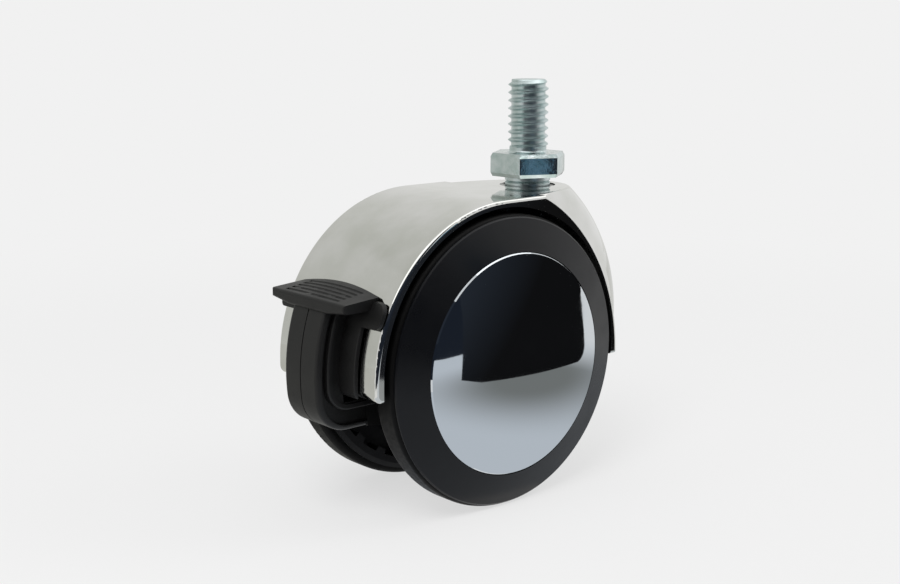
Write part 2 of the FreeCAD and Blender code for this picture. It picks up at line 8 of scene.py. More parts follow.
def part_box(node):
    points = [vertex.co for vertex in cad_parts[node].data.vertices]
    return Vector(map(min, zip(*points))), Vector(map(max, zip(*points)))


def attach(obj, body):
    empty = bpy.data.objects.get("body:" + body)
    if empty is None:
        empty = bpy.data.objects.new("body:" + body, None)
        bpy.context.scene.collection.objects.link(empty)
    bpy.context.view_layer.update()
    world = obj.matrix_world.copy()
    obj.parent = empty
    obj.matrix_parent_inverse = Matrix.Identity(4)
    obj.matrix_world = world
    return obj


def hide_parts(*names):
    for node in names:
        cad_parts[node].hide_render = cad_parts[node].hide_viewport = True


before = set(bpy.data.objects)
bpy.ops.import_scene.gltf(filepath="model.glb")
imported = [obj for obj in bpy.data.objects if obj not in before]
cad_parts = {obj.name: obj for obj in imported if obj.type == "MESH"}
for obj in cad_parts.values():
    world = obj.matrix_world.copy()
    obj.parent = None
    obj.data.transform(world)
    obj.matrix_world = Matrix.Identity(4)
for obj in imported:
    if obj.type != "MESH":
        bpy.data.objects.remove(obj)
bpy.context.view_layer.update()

bl_info = {
    "name": "Hooded stem castor",
    "version": (1, 0, 0),
    "blender": (4, 5, 0),
    "location": "View3D > Sidebar > Castor",
    "description": "Finishes, threaded stem and studio for a hooded twin-wheel stem castor",
    "category": "Object",
}

MM = 0.001

# Places closer than this count as the same place, and vertices closer than the others are joined
NEARLY = MM / 100
WELD = 1e-7
THREAD_WELD = 1e-6

# The middle range of a noise's values
NOISE_LOW = 0.3
NOISE_HIGH = 0.7

# The colour sockets of the Mix node
MIX_FIRST = 6
MIX_SECOND = 7
MIX_RESULT = 2

X_AXIS = Vector((1, 0, 0))
Z_AXIS = Vector((0, 0, 1))

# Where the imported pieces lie, in metres
STEM_LOW, STEM_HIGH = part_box("stem")
TREAD_LOW, TREAD_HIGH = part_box("tyre_left")
AXLE = Vector(((TREAD_LOW.x + TREAD_HIGH.x) / 2, 0, (TREAD_LOW.z + TREAD_HIGH.z) / 2))
FLOOR_Z = TREAD_LOW.z
BELOW_AXLE = Vector((AXLE.x, 0, FLOOR_Z))


def linear(code):
    """A hex sRGB colour as linear red, green and blue."""
    parts = [int(code[start:start + 2], 16) / 255 for start in (1, 3, 5)]
    return tuple(c / 12.92 if c <= 0.04045 else ((c + 0.055) / 1.055) ** 2.4 for c in parts)


def colour_property(name, description, code):
    """A colour that the panel shows, given as hex."""
    return bpy.props.FloatVectorProperty(name=name, description=description, subtype="COLOR",
                                         size=3, min=0, max=1, default=linear(code))


def length_property(name, description, size_mm):
    """A length that the panel shows, given in millimetres."""
    return bpy.props.FloatProperty(name=name, description=description, unit="LENGTH",
                                   subtype="DISTANCE", default=size_mm * MM)


class StemSizes(bpy.types.PropertyGroup):
    """Sizes of the threaded stem."""
    crest_radius: length_property("Crest radius", "Radius over the thread's crests", 5.0)
    root_radius: length_property("Root radius", "Radius at the bottom of the thread", 4.22)
    pitch: length_property("Pitch", "Distance from one crest to the next", 1.95)
    crest_flat: length_property("Crest width", "Width of the flat on a crest", 0.24)
    root_flat: length_property("Root width", "Width of the flat between two crests", 0.72)
    end_chamfer: length_property("End chamfer", "Chamfer on the thread's free end", 0.9)
    relief: length_property("Relief", "Plain length between hexagon and thread", 1.5)
    relief_radius: length_property("Relief radius", "Radius of the plain length", 4.62)
    collar: length_property("Collar", "Height of the flare on the hexagon", 0.55)
    collar_radius: length_property("Collar radius", "Radius of the flare on the hexagon", 5.2)
    across_flats: length_property("Across flats", "Spanner size of the hexagon", 17.0)
    hexagon_height: length_property("Hexagon height", "Height of the hexagon", 5.8)
    hexagon_bevel: length_property("Hexagon bevel", "Height of the bevel round both ends", 0.9)
    bevel_inset: length_property("Bevel inset", "How far the bevel goes in", 0.55)
    hexagon_edge: length_property("Hexagon edge", "Rounding of the hexagon's upright edges", 0.22)
    hexagon_turn: bpy.props.FloatProperty(name="Hexagon turn", description="How far it is turned",
                                          subtype="ANGLE", default=math.radians(34.5))
    neck_radius: length_property("Neck radius", "Radius of the neck and pintle", 5.7)
    groove_radius: length_property("Groove radius", "Radius inside the snap ring", 4.8)
    pintle_chamfer: length_property("Pintle chamfer", "Chamfer on the pintle's end", 0.6)
    neck_groove_drop: length_property("Neck groove drop", "From the hexagon to the groove", 1.1)
    neck_groove_width: length_property("Neck groove width", "Width of the neck's groove", 0.6)
    neck_groove_depth: length_property("Neck groove depth", "Depth of the neck's groove", 0.4)


class CastorColours(bpy.types.PropertyGroup):
    """Colours of the castor's finishes."""
    zinc: colour_property("Zinc plate", "Cool silver of the plated stem", "#d3dcdd")
    zinc_tint: colour_property("Zinc tint", "Greenish blue of the passivated plate", "#b4c5c3")
    chrome: colour_property("Chrome plate", "Polished cover", "#dfdfdd")
    chrome_cloud: colour_property("Chrome cloud", "Duller patches in the plating", "#d2d3ce")
    # Colour of the cover's inside: partly the dull casting, partly painted shade under the hood
    cast: colour_property("Bare casting", "Dark unpolished inside of the cover", "#2c2d2e")
    mirror: colour_property("Mirror plate", "Domed wheel caps", "#d1d6da")
    lever: colour_property("Lever nylon", "Moulded black lever", "#101010")
    wheel: colour_property("Wheel nylon", "Moulded black wheel centre", "#0b0c0f")
    tread: colour_property("Tread", "Black tread band", "#080808")
    steel: colour_property("Bright steel", "Turned steel inside", "#a9a9a7")
    spring: colour_property("Spring steel", "Dark spring steel inside", "#5c5a58")
    studio: colour_property("Studio", "Pale floor and background", "#f1f1f1")


def add(tree, kind, values=None, links=None, **settings):
    """Add a shader node with its properties, its socket values and the sockets that feed it."""
    node = tree.nodes.new("ShaderNode" + kind)
    for name, value in settings.items():
        setattr(node, name, value)
    for name, value in (values or {}).items():
        node.inputs[name].default_value = value
    for name, source in (links or {}).items():
        tree.links.new(source, node.inputs[name])
    return node


def new_tree(name):
    """A material with only its output, and the coordinates that its patterns read."""
    material = bpy.data.materials.new(name)
    material.use_nodes = True
    tree = material.node_tree
    tree.nodes.clear()
    place = add(tree, "TexCoord").outputs["Object"]
    return material, tree, place


def scale_for(size_mm):
    """Noise scale whose features are about this many millimetres wide."""
    return 1 / (size_mm * MM)


def rgba(colour):
    """A colour as a socket takes it."""
    return (*colour, 1)


def noise(tree, place, size_mm, detail=2.0):
    """Cloudy values around a half."""
    return add(tree, "TexNoise", {"Scale": scale_for(size_mm), "Detail": detail},
               {"Vector": place}).outputs["Fac"]


def spread(tree, source, low, high):
    """Map a noise's middle range to a range of values."""
    return add(tree, "MapRange", {"From Min": NOISE_LOW, "From Max": NOISE_HIGH,
                                  "To Min": low, "To Max": high},
               {"Value": source}).outputs["Result"]


def between(tree, share, low, high):
    """The value that lies a share of the way from low to high."""
    return add(tree, "MapRange", {"To Min": low, "To Max": high},
               {"Value": share}).outputs["Result"]


def computed(tree, operation, first, second):
    """The sum, product or larger of two sockets' values."""
    return add(tree, "Math", None, {0: first, 1: second}, operation=operation).outputs[0]


def graded(tree, place, start, end):
    """A value that runs from 0 to 1 between two points of the object."""
    run = (end - start) / (end - start).length_squared
    along = add(tree, "VectorMath", {1: run}, {0: place}, operation="DOT_PRODUCT")
    first = start.dot(run)
    return add(tree, "MapRange", {"From Min": first, "From Max": first + 1},
               {"Value": along.outputs["Value"]}).outputs["Result"]


def turned_inward(tree, place):
    """1 on faces that look towards the middle of the axle, 0 on those that look away."""
    outward = add(tree, "VectorMath", {1: AXLE}, {0: place}, operation="SUBTRACT")
    facing = add(tree, "VectorMath", None, {0: place.node.outputs["Normal"],
                                            1: outward.outputs["Vector"]}, operation="DOT_PRODUCT")
    return add(tree, "MapRange", {"From Min": MM, "From Max": -MM},
               {"Value": facing.outputs["Value"]}).outputs["Result"]


def two_tone(tree, share, first, second):
    """A share of the way from one colour to another."""
    return add(tree, "Mix", {MIX_FIRST: rgba(first), MIX_SECOND: rgba(second)}, {0: share},
               data_type="RGBA").outputs[MIX_RESULT]


def covered(tree, share, pattern, colour):
    """A pattern that an even colour covers by a share."""
    return add(tree, "Mix", {MIX_SECOND: rgba(colour)}, {0: share, MIX_FIRST: pattern},
               data_type="RGBA").outputs[MIX_RESULT]


def bump(tree, height, distance_mm, strength):
    """A surface normal that follows a pattern's heights."""
    return add(tree, "Bump", {"Strength": strength, "Distance": distance_mm * MM},
               {"Height": height}).outputs["Normal"]


def finish_shader(tree, values, links, kind="BsdfPrincipled"):
    """The surface shader and the material's output."""
    shader = add(tree, kind, values, links)
    add(tree, "OutputMaterial", None, {"Surface": shader.outputs[0]})


def zinc_plated_steel(colours, hexagon_height):
    """Steel, bright zinc plated: a cool silver with greenish clouds, dimpled where the hexagon
    was headed and satin where the thread was rolled and the neck turned."""
    material, tree, place = new_tree("zinc plated steel")
    clouds = noise(tree, place, 2.6, 3)
    dimples = noise(tree, place, 0.9, 3)
    hexagon_low = Z_AXIS * -hexagon_height
    edge = Z_AXIS * MM / 2
    satin = computed(tree, "MAXIMUM", graded(tree, place, Vector(), edge),
                     graded(tree, place, hexagon_low, hexagon_low - edge))
    normal = add(tree, "Bump", {"Distance": 0.08 * MM},
                 {"Height": dimples, "Strength": between(tree, satin, 0.75, 0.06)})
    finish_shader(tree, {"Metallic": 1.0}, {
        "Base Color": two_tone(tree, spread(tree, clouds, 0, 1), colours.zinc, colours.zinc_tint),
        "Roughness": computed(tree, "ADD", spread(tree, dimples, 0.12, 0.2),
                              between(tree, satin, 0, 0.2)),
        "Normal": normal.outputs["Normal"]})
    return material


def chrome_plated_casting(colours):
    """Polished die casting under chrome: a clear mirror, a little wavy, with faint dull clouds.
    Inside, where the plate hardly reaches, it is unpolished, and dark, in part painted shade."""
    material, tree, place = new_tree("chrome plated casting")
    clouds = noise(tree, place, 9.0, 4)
    waves = noise(tree, place, 16.0, 1)
    # Faces turned towards the axle get the dark inside colour, partly dull casting and partly
    # painted shade
    inside = turned_inward(tree, place)
    plate = two_tone(tree, spread(tree, clouds, 0, 1), colours.chrome, colours.chrome_cloud)
    finish_shader(tree, {"Metallic": 1.0}, {
        "Base Color": covered(tree, inside, plate, colours.cast),
        "Roughness": computed(tree, "ADD", spread(tree, clouds, 0.035, 0.09),
                              between(tree, inside, 0, 0.4)),
        "Normal": bump(tree, waves, 0.2, 0.12)})
    return material


def mirror_plated_cap(colours):
    """Pressed cap under bright chrome: a clean mirror with barely a trace of handling."""
    material, tree, place = new_tree("mirror chrome cap")
    smudges = noise(tree, place, 7.0, 3)
    finish_shader(tree, {"Metallic": 1.0, "Base Color": rgba(colours.mirror)},
                  {"Roughness": spread(tree, smudges, 0.015, 0.04)})
    return material


def moulded_lever_nylon(colours):
    """Glass-filled nylon from a spark-eroded mould: satin black with a fine even grain."""
    material, tree, place = new_tree("moulded black nylon lever")
    grain = noise(tree, place, 0.3, 2)
    flow = noise(tree, place, 6.0, 3)
    lighter = tuple(min(1, part * 1.35) for part in colours.lever)
    finish_shader(tree, {"Specular IOR Level": 0.31}, {
        "Base Color": two_tone(tree, spread(tree, flow, 0, 1), colours.lever, lighter),
        "Roughness": spread(tree, flow, 0.4, 0.52),
        "Normal": bump(tree, grain, 0.04, 0.4)})
    return material


def moulded_wheel_nylon(colours):
    """Nylon from a polished mould: near black, semi-gloss, with a faint flow pattern, and matt
    inside."""
    material, tree, place = new_tree("moulded black nylon wheel")
    flow = noise(tree, place, 8.0, 3)
    grain = noise(tree, place, 0.5, 2)
    finish_shader(tree, {"Base Color": rgba(colours.wheel), "Specular IOR Level": 0.26}, {
        "Roughness": computed(tree, "ADD", spread(tree, flow, 0.27, 0.38),
                              between(tree, turned_inward(tree, place), 0, 0.5)),
        "Normal": bump(tree, grain, 0.02, 0.25)})
    return material


def tread_polyurethane(colours):
    """Cast polyurethane tread: smooth satin black with slight scuffing."""
    material, tree, place = new_tree("black polyurethane tread")
    scuff = noise(tree, place, 1.2, 4)
    finish_shader(tree, {"Base Color": rgba(colours.tread), "Specular IOR Level": 0.1}, {
        "Roughness": spread(tree, scuff, 0.42, 0.58),
        "Normal": bump(tree, scuff, 0.03, 0.3)})
    return material


def turned_steel(colours):
    """Bright drawn and turned steel: a mid silver with fine rings about its axis."""
    material, tree, place = new_tree("bright turned steel")
    rings = add(tree, "TexWave", {"Scale": scale_for(0.6), "Distortion": 1.5, "Detail": 2},
                {"Vector": place}, bands_direction="Y").outputs["Fac"]
    finish_shader(tree, {"Metallic": 1.0, "Base Color": rgba(colours.steel)},
                  {"Roughness": spread(tree, rings, 0.2, 0.34),
                   "Normal": bump(tree, rings, 0.01, 0.3)})
    return material


def oiled_spring_steel(colours):
    """Hardened spring steel, oil blacked: dark, with browner clouds."""
    material, tree, place = new_tree("oiled spring steel")
    clouds = noise(tree, place, 1.5, 3)
    browner = tuple(part * factor for part, factor in zip(colours.spring, (1.1, 0.95, 0.8)))
    finish_shader(tree, {"Metallic": 1.0}, {
        "Base Color": two_tone(tree, spread(tree, clouds, 0, 1), colours.spring, browner),
        "Roughness": spread(tree, clouds, 0.3, 0.5)})
    return material


def put_on(material, *names):
    """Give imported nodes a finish."""
    for name in names:
        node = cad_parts[name]
        for slot in node.material_slots:
            slot.material = material


def temporary(bm, name):
    """A mesh object made from a bmesh, which is then freed."""
    bmesh.ops.recalc_face_normals(bm, faces=bm.faces)
    mesh = bpy.data.meshes.new(name)
    bm.to_mesh(mesh)
    bm.free()
    piece = bpy.data.objects.new(name, mesh)
    bpy.context.scene.collection.objects.link(piece)
    return piece


def combined(name, base, others, operation):
    """Cut or join solids into one new object, and remove the ones it came from."""
    for other in others:
        modifier = base.modifiers.new("join", "BOOLEAN")
        modifier.operation = operation
        modifier.solver = "MANIFOLD"
        modifier.object = other
    bpy.context.view_layer.update()
    seen = base.evaluated_get(bpy.context.evaluated_depsgraph_get())
    mesh = bpy.data.meshes.new_from_object(seen)
    mesh.name = name
    for old in [base] + others:
        bpy.data.objects.remove(old)
    piece = bpy.data.objects.new(name, mesh)
    bpy.context.scene.collection.objects.link(piece)
    return piece


def shade(piece, material, sharp_degrees=30):
    """Smooth the faces, keep edges over an angle sharp, and give the piece its finish."""
    piece.data.materials.clear()
    piece.data.materials.append(material)
    piece.data.shade_smooth()
    piece.data.set_sharp_from_angle(angle=math.radians(sharp_degrees))


def keep_sharp(piece, height):
    """Keep the edges that lie at one height sharp, however flat the faces beside them meet."""
    verts = piece.data.vertices
    for edge in piece.data.edges:
        if all(abs(verts[index].co.z - height) < NEARLY for index in edge.vertices):
            edge.use_edge_sharp = True


def turned(profile, steps=96):
    """A closed solid turned about Z from (radius, height) points that start and end on it."""
    bm = bmesh.new()
    verts = [bm.verts.new((radius, 0, z)) for radius, z in profile]
    edges = [bm.edges.new(pair) for pair in zip(verts, verts[1:])]
    bmesh.ops.spin(bm, geom=verts + edges, cent=(0, 0, 0), axis=Z_AXIS, angle=math.tau,
                   steps=steps, use_merge=True)
    bmesh.ops.remove_doubles(bm, verts=bm.verts, dist=WELD)
    return bm


# Corners of the thread's section, as shares of its depth and of a flank's height
CORNER_RISE = 0.12
CORNER_REACH = 0.1

# Turns of thread that are made and cut away again, and where the relief gets a row of vertices
SPARE_TURNS = 2
RELIEF_ROW = 0.7


def thread_section(sizes, z):
    """One pitch of the thread's section, with rounded root and crest corners."""
    root, crest = sizes.root_radius, sizes.crest_radius
    flank = (sizes.pitch - sizes.crest_flat - sizes.root_flat) / 2
    rise = (crest - root) * CORNER_RISE
    reach = flank * CORNER_REACH
    flank_low = z + sizes.root_flat
    crest_low = flank_low + flank
    crest_high = crest_low + sizes.crest_flat
    flank_high = crest_high + flank * (1 - CORNER_REACH)
    return [(root, z), (root, z + sizes.root_flat / 2), (root, flank_low - reach),
            (root + rise, flank_low + reach), (crest - rise, crest_low - reach),
            (crest, crest_low), (crest, crest_high), (crest - rise, crest_high + reach),
            (root + rise, flank_high), (root, z + sizes.pitch)]


def threaded_shank(sizes, top, sunk, steps=72):
    """Helical thread with a chamfered end, a plain relief and a flare onto the hexagon."""
    bm = bmesh.new()
    turns = math.ceil((top + sunk) / sizes.pitch) + SPARE_TURNS
    start = -sunk - SPARE_TURNS * sizes.pitch
    verts = [bm.verts.new((radius, 0, z)) for radius, z in thread_section(sizes, start)]
    edges = [bm.edges.new(pair) for pair in zip(verts, verts[1:])]
    bmesh.ops.spin(bm, geom=verts + edges, cent=(0, 0, 0), axis=Z_AXIS,
                   dvec=Z_AXIS * sizes.pitch / steps, angle=math.tau * turns, steps=steps * turns,
                   use_merge=False)
    bmesh.ops.remove_doubles(bm, verts=bm.verts, dist=THREAD_WELD)
    levels = [-sunk, 0, sizes.collar / 2, sizes.collar, sizes.relief * RELIEF_ROW, sizes.relief,
              top - sizes.end_chamfer, top - sizes.end_chamfer / 2, top]
    for level in levels:
        bmesh.ops.bisect_plane(bm, geom=bm.verts[:] + bm.edges[:] + bm.faces[:], dist=WELD,
                               plane_co=Z_AXIS * level, plane_no=Z_AXIS,
                               clear_inner=level == levels[0], clear_outer=level == levels[-1])
    for vert in bm.verts:
        radius = math.hypot(vert.co.x, vert.co.y)
        wanted = shank_limit(sizes, radius, vert.co.z, top)
        vert.co.x *= wanted / radius
        vert.co.y *= wanted / radius
    bmesh.ops.holes_fill(bm, edges=[edge for edge in bm.edges if edge.is_boundary], sides=0)
    return bm


def shank_limit(sizes, radius, z, top):
    """The shank's radius after its end is chamfered and its root is turned plain."""
    if z > top - sizes.end_chamfer:
        return min(radius, sizes.crest_radius - (z - top + sizes.end_chamfer))
    if z >= sizes.relief:
        return radius
    if z <= sizes.collar:
        share = max(0.0, z / sizes.collar)
        flare = (sizes.collar_radius - sizes.relief_radius) * (1 - share) ** 2
        return sizes.relief_radius + flare
    return sizes.relief_radius


def spanner_hexagon(sizes):
    """Pressed hexagon with bevelled ends and slightly rounded upright edges."""
    bm = bmesh.new()
    corner = sizes.across_flats / math.sqrt(3)
    flat_to_corner = math.radians(30)
    place = Matrix.Translation(Z_AXIS * (-sizes.hexagon_height / 2))
    turn = Matrix.Rotation(sizes.hexagon_turn - flat_to_corner, 4, "Z")
    bmesh.ops.create_cone(bm, cap_ends=True, cap_tris=False, segments=6, radius1=corner,
                          radius2=corner, depth=sizes.hexagon_height - 2 * sizes.hexagon_bevel,
                          matrix=place @ turn)
    upright = [edge for edge in bm.edges if abs((edge.verts[0].co - edge.verts[1].co).z) > MM]
    bmesh.ops.bevel(bm, geom=upright, offset=sizes.hexagon_edge, offset_type="OFFSET",
                    affect="EDGES", segments=3, profile=0.5, material=-1)
    bmesh.ops.recalc_face_normals(bm, faces=bm.faces)
    for end in [face for face in bm.faces if abs(face.normal.z) > 0.9]:
        bmesh.ops.inset_region(bm, faces=[end], thickness=sizes.bevel_inset,
                               depth=sizes.hexagon_bevel, use_even_offset=True)
    return bm


def neck_and_pintle(sizes, low, ring_low, ring_high):
    """The turned end below the hexagon, with the snap ring's groove."""
    radius = sizes.neck_radius
    top = -sizes.hexagon_height / 2
    groove_top = -sizes.hexagon_height - sizes.neck_groove_drop
    groove_low = groove_top - sizes.neck_groove_width
    groove = (radius - sizes.neck_groove_depth, (groove_top + groove_low) / 2)
    return turned([(0, low), (radius - sizes.pintle_chamfer, low),
                   (radius, low + sizes.pintle_chamfer), (radius, ring_low),
                   (sizes.groove_radius, ring_low), (sizes.groove_radius, ring_high),
                   (radius, ring_high), (radius, groove_low), groove, (radius, groove_top),
                   (radius, top), (0, top)])


class CASTOR_OT_threaded_stem(bpy.types.Operator):
    """Thread, hexagon, neck and pintle of the swivel stem"""
    bl_idname = "castor.threaded_stem"
    bl_label = "Threaded stem"

    def execute(self, context):
        sizes = context.scene.castor_stem
        ring_low, ring_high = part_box("snap_ring")
        shank = temporary(threaded_shank(sizes, STEM_HIGH.z, MM), "shank")
        hexagon = temporary(spanner_hexagon(sizes), "hexagon")
        pintle = temporary(neck_and_pintle(sizes, STEM_LOW.z, ring_low.z, ring_high.z), "pintle")
        stem = combined("threaded_stem", hexagon, [shank, pintle], "UNION")
        shade(stem, zinc_plated_steel(context.scene.castor_colours, sizes.hexagon_height))
        keep_sharp(stem, 0.0)
        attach(stem, "stem_assembly")
        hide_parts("stem")
        return {"FINISHED"}


class CASTOR_OT_hood(bpy.types.Operator):
    """Chrome finish of the hood"""
    bl_idname = "castor.hood"
    bl_label = "Hood"

    def execute(self, context):
        put_on(chrome_plated_casting(context.scene.castor_colours), "hood")
        return {"FINISHED"}


class CASTOR_OT_wheels(bpy.types.Operator):
    """Finishes of the wheel centres and their treads"""
    bl_idname = "castor.wheels"
    bl_label = "Wheels"

    def execute(self, context):
        colours = context.scene.castor_colours
        put_on(moulded_wheel_nylon(colours), "wheel_core_right", "wheel_core_left")
        put_on(tread_polyurethane(colours), "tyre_right", "tyre_left")
        return {"FINISHED"}


class CASTOR_OT_hub_caps(bpy.types.Operator):
    """Mirror finish of the domed caps"""
    bl_idname = "castor.hub_caps"
    bl_label = "Hub caps"

    def execute(self, context):
        put_on(mirror_plated_cap(context.scene.castor_colours), "hub_cap_right", "hub_cap_left")
        return {"FINISHED"}


class CASTOR_OT_brake_lever(bpy.types.Operator):
    """Finish of the moulded brake lever"""
    bl_idname = "castor.brake_lever"
    bl_label = "Brake lever"

    def execute(self, context):
        put_on(moulded_lever_nylon(context.scene.castor_colours), "brake_lever")
        return {"FINISHED"}


class CASTOR_OT_inner_steel(bpy.types.Operator):
    """Finishes of the axle, pins, bush, washers and rings"""
    bl_idname = "castor.inner_steel"
    bl_label = "Inner steel pieces"

    def execute(self, context):
        colours = context.scene.castor_colours
        put_on(turned_steel(colours), "socket_bush", "thrust_disc", "axle", "brake_pivot_pin",
               "lock_bar", "wheel_washer_right", "wheel_washer_left")
        put_on(oiled_spring_steel(colours), "snap_ring", "axle_retainer_right",
               "axle_retainer_left")
        return {"FINISHED"}


# The camera's place in metres, its angles, and its lens and sensor in millimetres
CAMERA_PLACE = Vector((-0.2405, -0.2474, 0.03375))
CAMERA_TILT = math.radians(11.4285)
CAMERA_TURN = math.radians(-40.9496)
CAMERA_LENS = 54.96
SENSOR_WIDTH = 36.0
CLIP_START = 0.01

# Light: the world's strength, and the lamps' places in metres with their watts
WORLD_STRENGTH = 0.6
LAMP_SIZE = 0.4
LAMPS = (("key", (-0.45, -0.25, 0.55), 2.8), ("fill", (0.5, -0.35, 0.4), 1.0))

# The floor's reach, how much of the castor's shadow it shows, and between which distances the
# shadow fades, in metres
FLOOR_REACH = 20
SHADOW_SHARE = 0.28
SHADOW_NEAR = 0.1
SHADOW_FAR = 0.4

# The near screen: its plan, height and last corner, in millimetres from below the axle, and the
# two spots between which its colour changes
NEAR_SCREEN = ((44, -133), (52, -119), (88, -101), (128, -82))
NEAR_SCREEN_HEIGHT = 74
NEAR_SCREEN_LEAN = (-14, -7, 0)
NEAR_SCREEN_CORNER = 9
NEAR_SCREEN_SHADE = ((44, -133, 60), (75, -108, 30))
NEAR_SCREEN_COLOURS = ("#2d323a", "#141415")

# Upright cards of one colour: plan, lower edge, height and colour
FAR_SCREEN = (((125, -206), (50, -199), (-40, -190), (-110, -165), (-170, -110), (-195, -40)),
              0, 84, "#20252e")
BLUE_CARD = (((24, -60), (1, -60)), 64, 14, "#5c7b90")
DARK_ROOM = (((160, -520), (-200, -560), (-560, -480), (-900, -160)), 0, 640, "#2c313a")

# The overhead light, in millimetres from the axle
OVERHEAD_HEIGHT = 300
OVERHEAD_LIGHT = ((-420, 50), (-420, -150), (-200, -185), (80, -175), (380, -135), (380, 40),
                  (80, -20), (-60, 0), (-100, 50))
OVERHEAD_STRENGTH = 1.7

# The backdrop's section on the castor's left, as distance and height in millimetres, and the
# runs along X and up Z over which its colour changes
BACKDROP = ((300, 0.4), (640, 0.4), (720, 30), (755, 110), (760, 250), (760, 1200))
BACKDROP_REACH = 1400
BACKDROP_LOW_RUN = (-770, 630)
BACKDROP_HIGH_RUN = (-470, 630)
BACKDROP_STEP = (555, 575)
BACKDROP_COLOURS = ("#c6c7c2", "#e4e4e2")

# Parts of the floor as the chrome shows them, and a painted glint: corners, height above the floor
# and colour
FLOOR_SHEETS = (
    ("grey_floor", ((-600, 20), (60, 20), (60, 330), (-600, 330)), 0.3, "#cbcbc6"),
    ("pale_floor", ((60, 30), (700, 30), (700, 600), (60, 600)), 0.3, "#dbdbd9"),
    # A white glowing sheet under the wheels, where the castor's shadow lies: a painted highlight
    # that gives the caps' rims a bright line
    ("painted_rim_glint", ((-30, -25), (10, -22), (72, 0), (72, 28), (5, -6), (-30, -14)), 0.5,
     "#ffffff"))

# The floor that the caps show: its corners, and an oval shade of which nothing is left ahead of
# the castor, all in millimetres from below the axle
SHADED_FLOOR = ((-90, -210), (190, -210), (190, 0), (-90, 0))
SHADED_FLOOR_HEIGHT = 0.2
SHADE_CENTRE = (80, -95)
SHADE_TURN = math.radians(26)
SHADE_LENGTH = 75
SHADE_WIDTH = 60
SHADE_COLOURS = ("#828482", "#d3d8de")
SHADE_FADE = (110, 170)


def studio_rays(tree):
    """A value of 1 on the rays that see the studio: from the camera, a mirror or a clear piece."""
    paths = add(tree, "LightPath").outputs
    seen = computed(tree, "MAXIMUM", paths["Is Camera Ray"], paths["Is Glossy Ray"])
    return computed(tree, "MAXIMUM", seen, paths["Is Transmission Ray"])


def pale_world(colour, strength):
    """A world that lights the castor evenly and shows its own colour behind it."""
    world = bpy.data.worlds.new("studio world")
    bpy.context.scene.world = world
    world.use_nodes = True
    tree = world.node_tree
    tree.nodes.clear()
    light = add(tree, "Background", {"Color": (1, 1, 1, 1), "Strength": strength})
    seen = add(tree, "Background", {"Color": rgba(colour), "Strength": 1.0})
    mix = add(tree, "MixShader", None, {0: studio_rays(tree), 1: light.outputs[0],
                                        2: seen.outputs[0]})
    add(tree, "OutputWorld", None, {"Surface": mix.outputs[0]})


def floor_paint(colour):
    """Matt pale floor that shows its own colour to the camera and keeps a light shadow near."""
    material, tree, place = new_tree("studio floor")
    matt = add(tree, "BsdfDiffuse", {"Color": rgba(colour)})
    seen = add(tree, "Emission", {"Color": rgba(colour), "Strength": 1.0})
    distance = add(tree, "VectorMath", None, {0: place}, operation="LENGTH").outputs["Value"]
    share = add(tree, "MapRange", {"From Min": SHADOW_NEAR, "From Max": SHADOW_FAR,
                                   "To Min": 1 - SHADOW_SHARE},
                {"Value": distance}, interpolation_type="SMOOTHSTEP").outputs["Result"]
    own = computed(tree, "MULTIPLY", studio_rays(tree), share)
    mix = add(tree, "MixShader", None, {0: own, 1: matt.outputs[0], 2: seen.outputs[0]})
    add(tree, "OutputMaterial", None, {"Surface": mix.outputs[0]})
    return material


def flat_paint(name, code, strength=1.0):
    """A card that shows one even colour in mirrors."""
    material, tree, _ = new_tree(name)
    finish_shader(tree, {"Color": rgba(linear(code)), "Strength": strength}, None, "Emission")
    return material


def near_screen_paint():
    """Dark screen, lighter at its upper left corner."""
    material, tree, place = new_tree("near screen")
    start, end = (BELOW_AXLE + Vector(spot) * MM for spot in NEAR_SCREEN_SHADE)
    share = graded(tree, place, start, end)
    colour = two_tone(tree, share, *map(linear, NEAR_SCREEN_COLOURS))
    finish_shader(tree, None, {"Color": colour}, "Emission")
    return material


def backdrop_paint():
    """Pale backdrop, greyer to the castor's rear and a little greyer again above."""
    material, tree, place = new_tree("backdrop")
    low, high = (graded(tree, place, X_AXIS * start * MM, X_AXIS * end * MM)
                 for start, end in (BACKDROP_LOW_RUN, BACKDROP_HIGH_RUN))
    start, end = BACKDROP_STEP
    above = graded(tree, place, Z_AXIS * start * MM, Z_AXIS * end * MM)
    share = add(tree, "Mix", None, {0: above, 2: low, 3: high}, data_type="FLOAT").outputs[0]
    colour = two_tone(tree, share, *map(linear, BACKDROP_COLOURS))
    finish_shader(tree, None, {"Color": colour}, "Emission")
    return material


def shaded_floor_paint(colour):
    """Floor that is greyer at the foot of the dark screen, as the caps show it."""
    material, tree, place = new_tree("shaded floor")
    x, y = SHADE_CENTRE
    local = add(tree, "Mapping", {"Location": BELOW_AXLE + Vector((x, y, 0)) * MM,
                                  "Rotation": (0, 0, SHADE_TURN),
                                  "Scale": (SHADE_LENGTH * MM, SHADE_WIDTH * MM, 1)},
                {"Vector": place}, vector_type="TEXTURE").outputs["Vector"]
    distance = add(tree, "VectorMath", None, {0: local}, operation="LENGTH").outputs["Value"]
    share = add(tree, "MapRange", {"From Min": 0.3, "From Max": 1.2}, {"Value": distance},
                interpolation_type="SMOOTHSTEP").outputs["Result"]
    ground = two_tone(tree, share, *map(linear, SHADE_COLOURS))
    ahead = graded(tree, place, *(BELOW_AXLE + X_AXIS * end * MM for end in SHADE_FADE))
    finish_shader(tree, None, {"Color": covered(tree, ahead, ground, colour)}, "Emission")
    return material


def floor(colour):
    """The large floor under the castor."""
    bm = bmesh.new()
    bmesh.ops.create_grid(bm, x_segments=1, y_segments=1, size=FLOOR_REACH,
                          matrix=Matrix.Translation(Z_AXIS * FLOOR_Z))
    piece = temporary(bm, "studio_floor")
    piece.data.materials.append(floor_paint(colour))


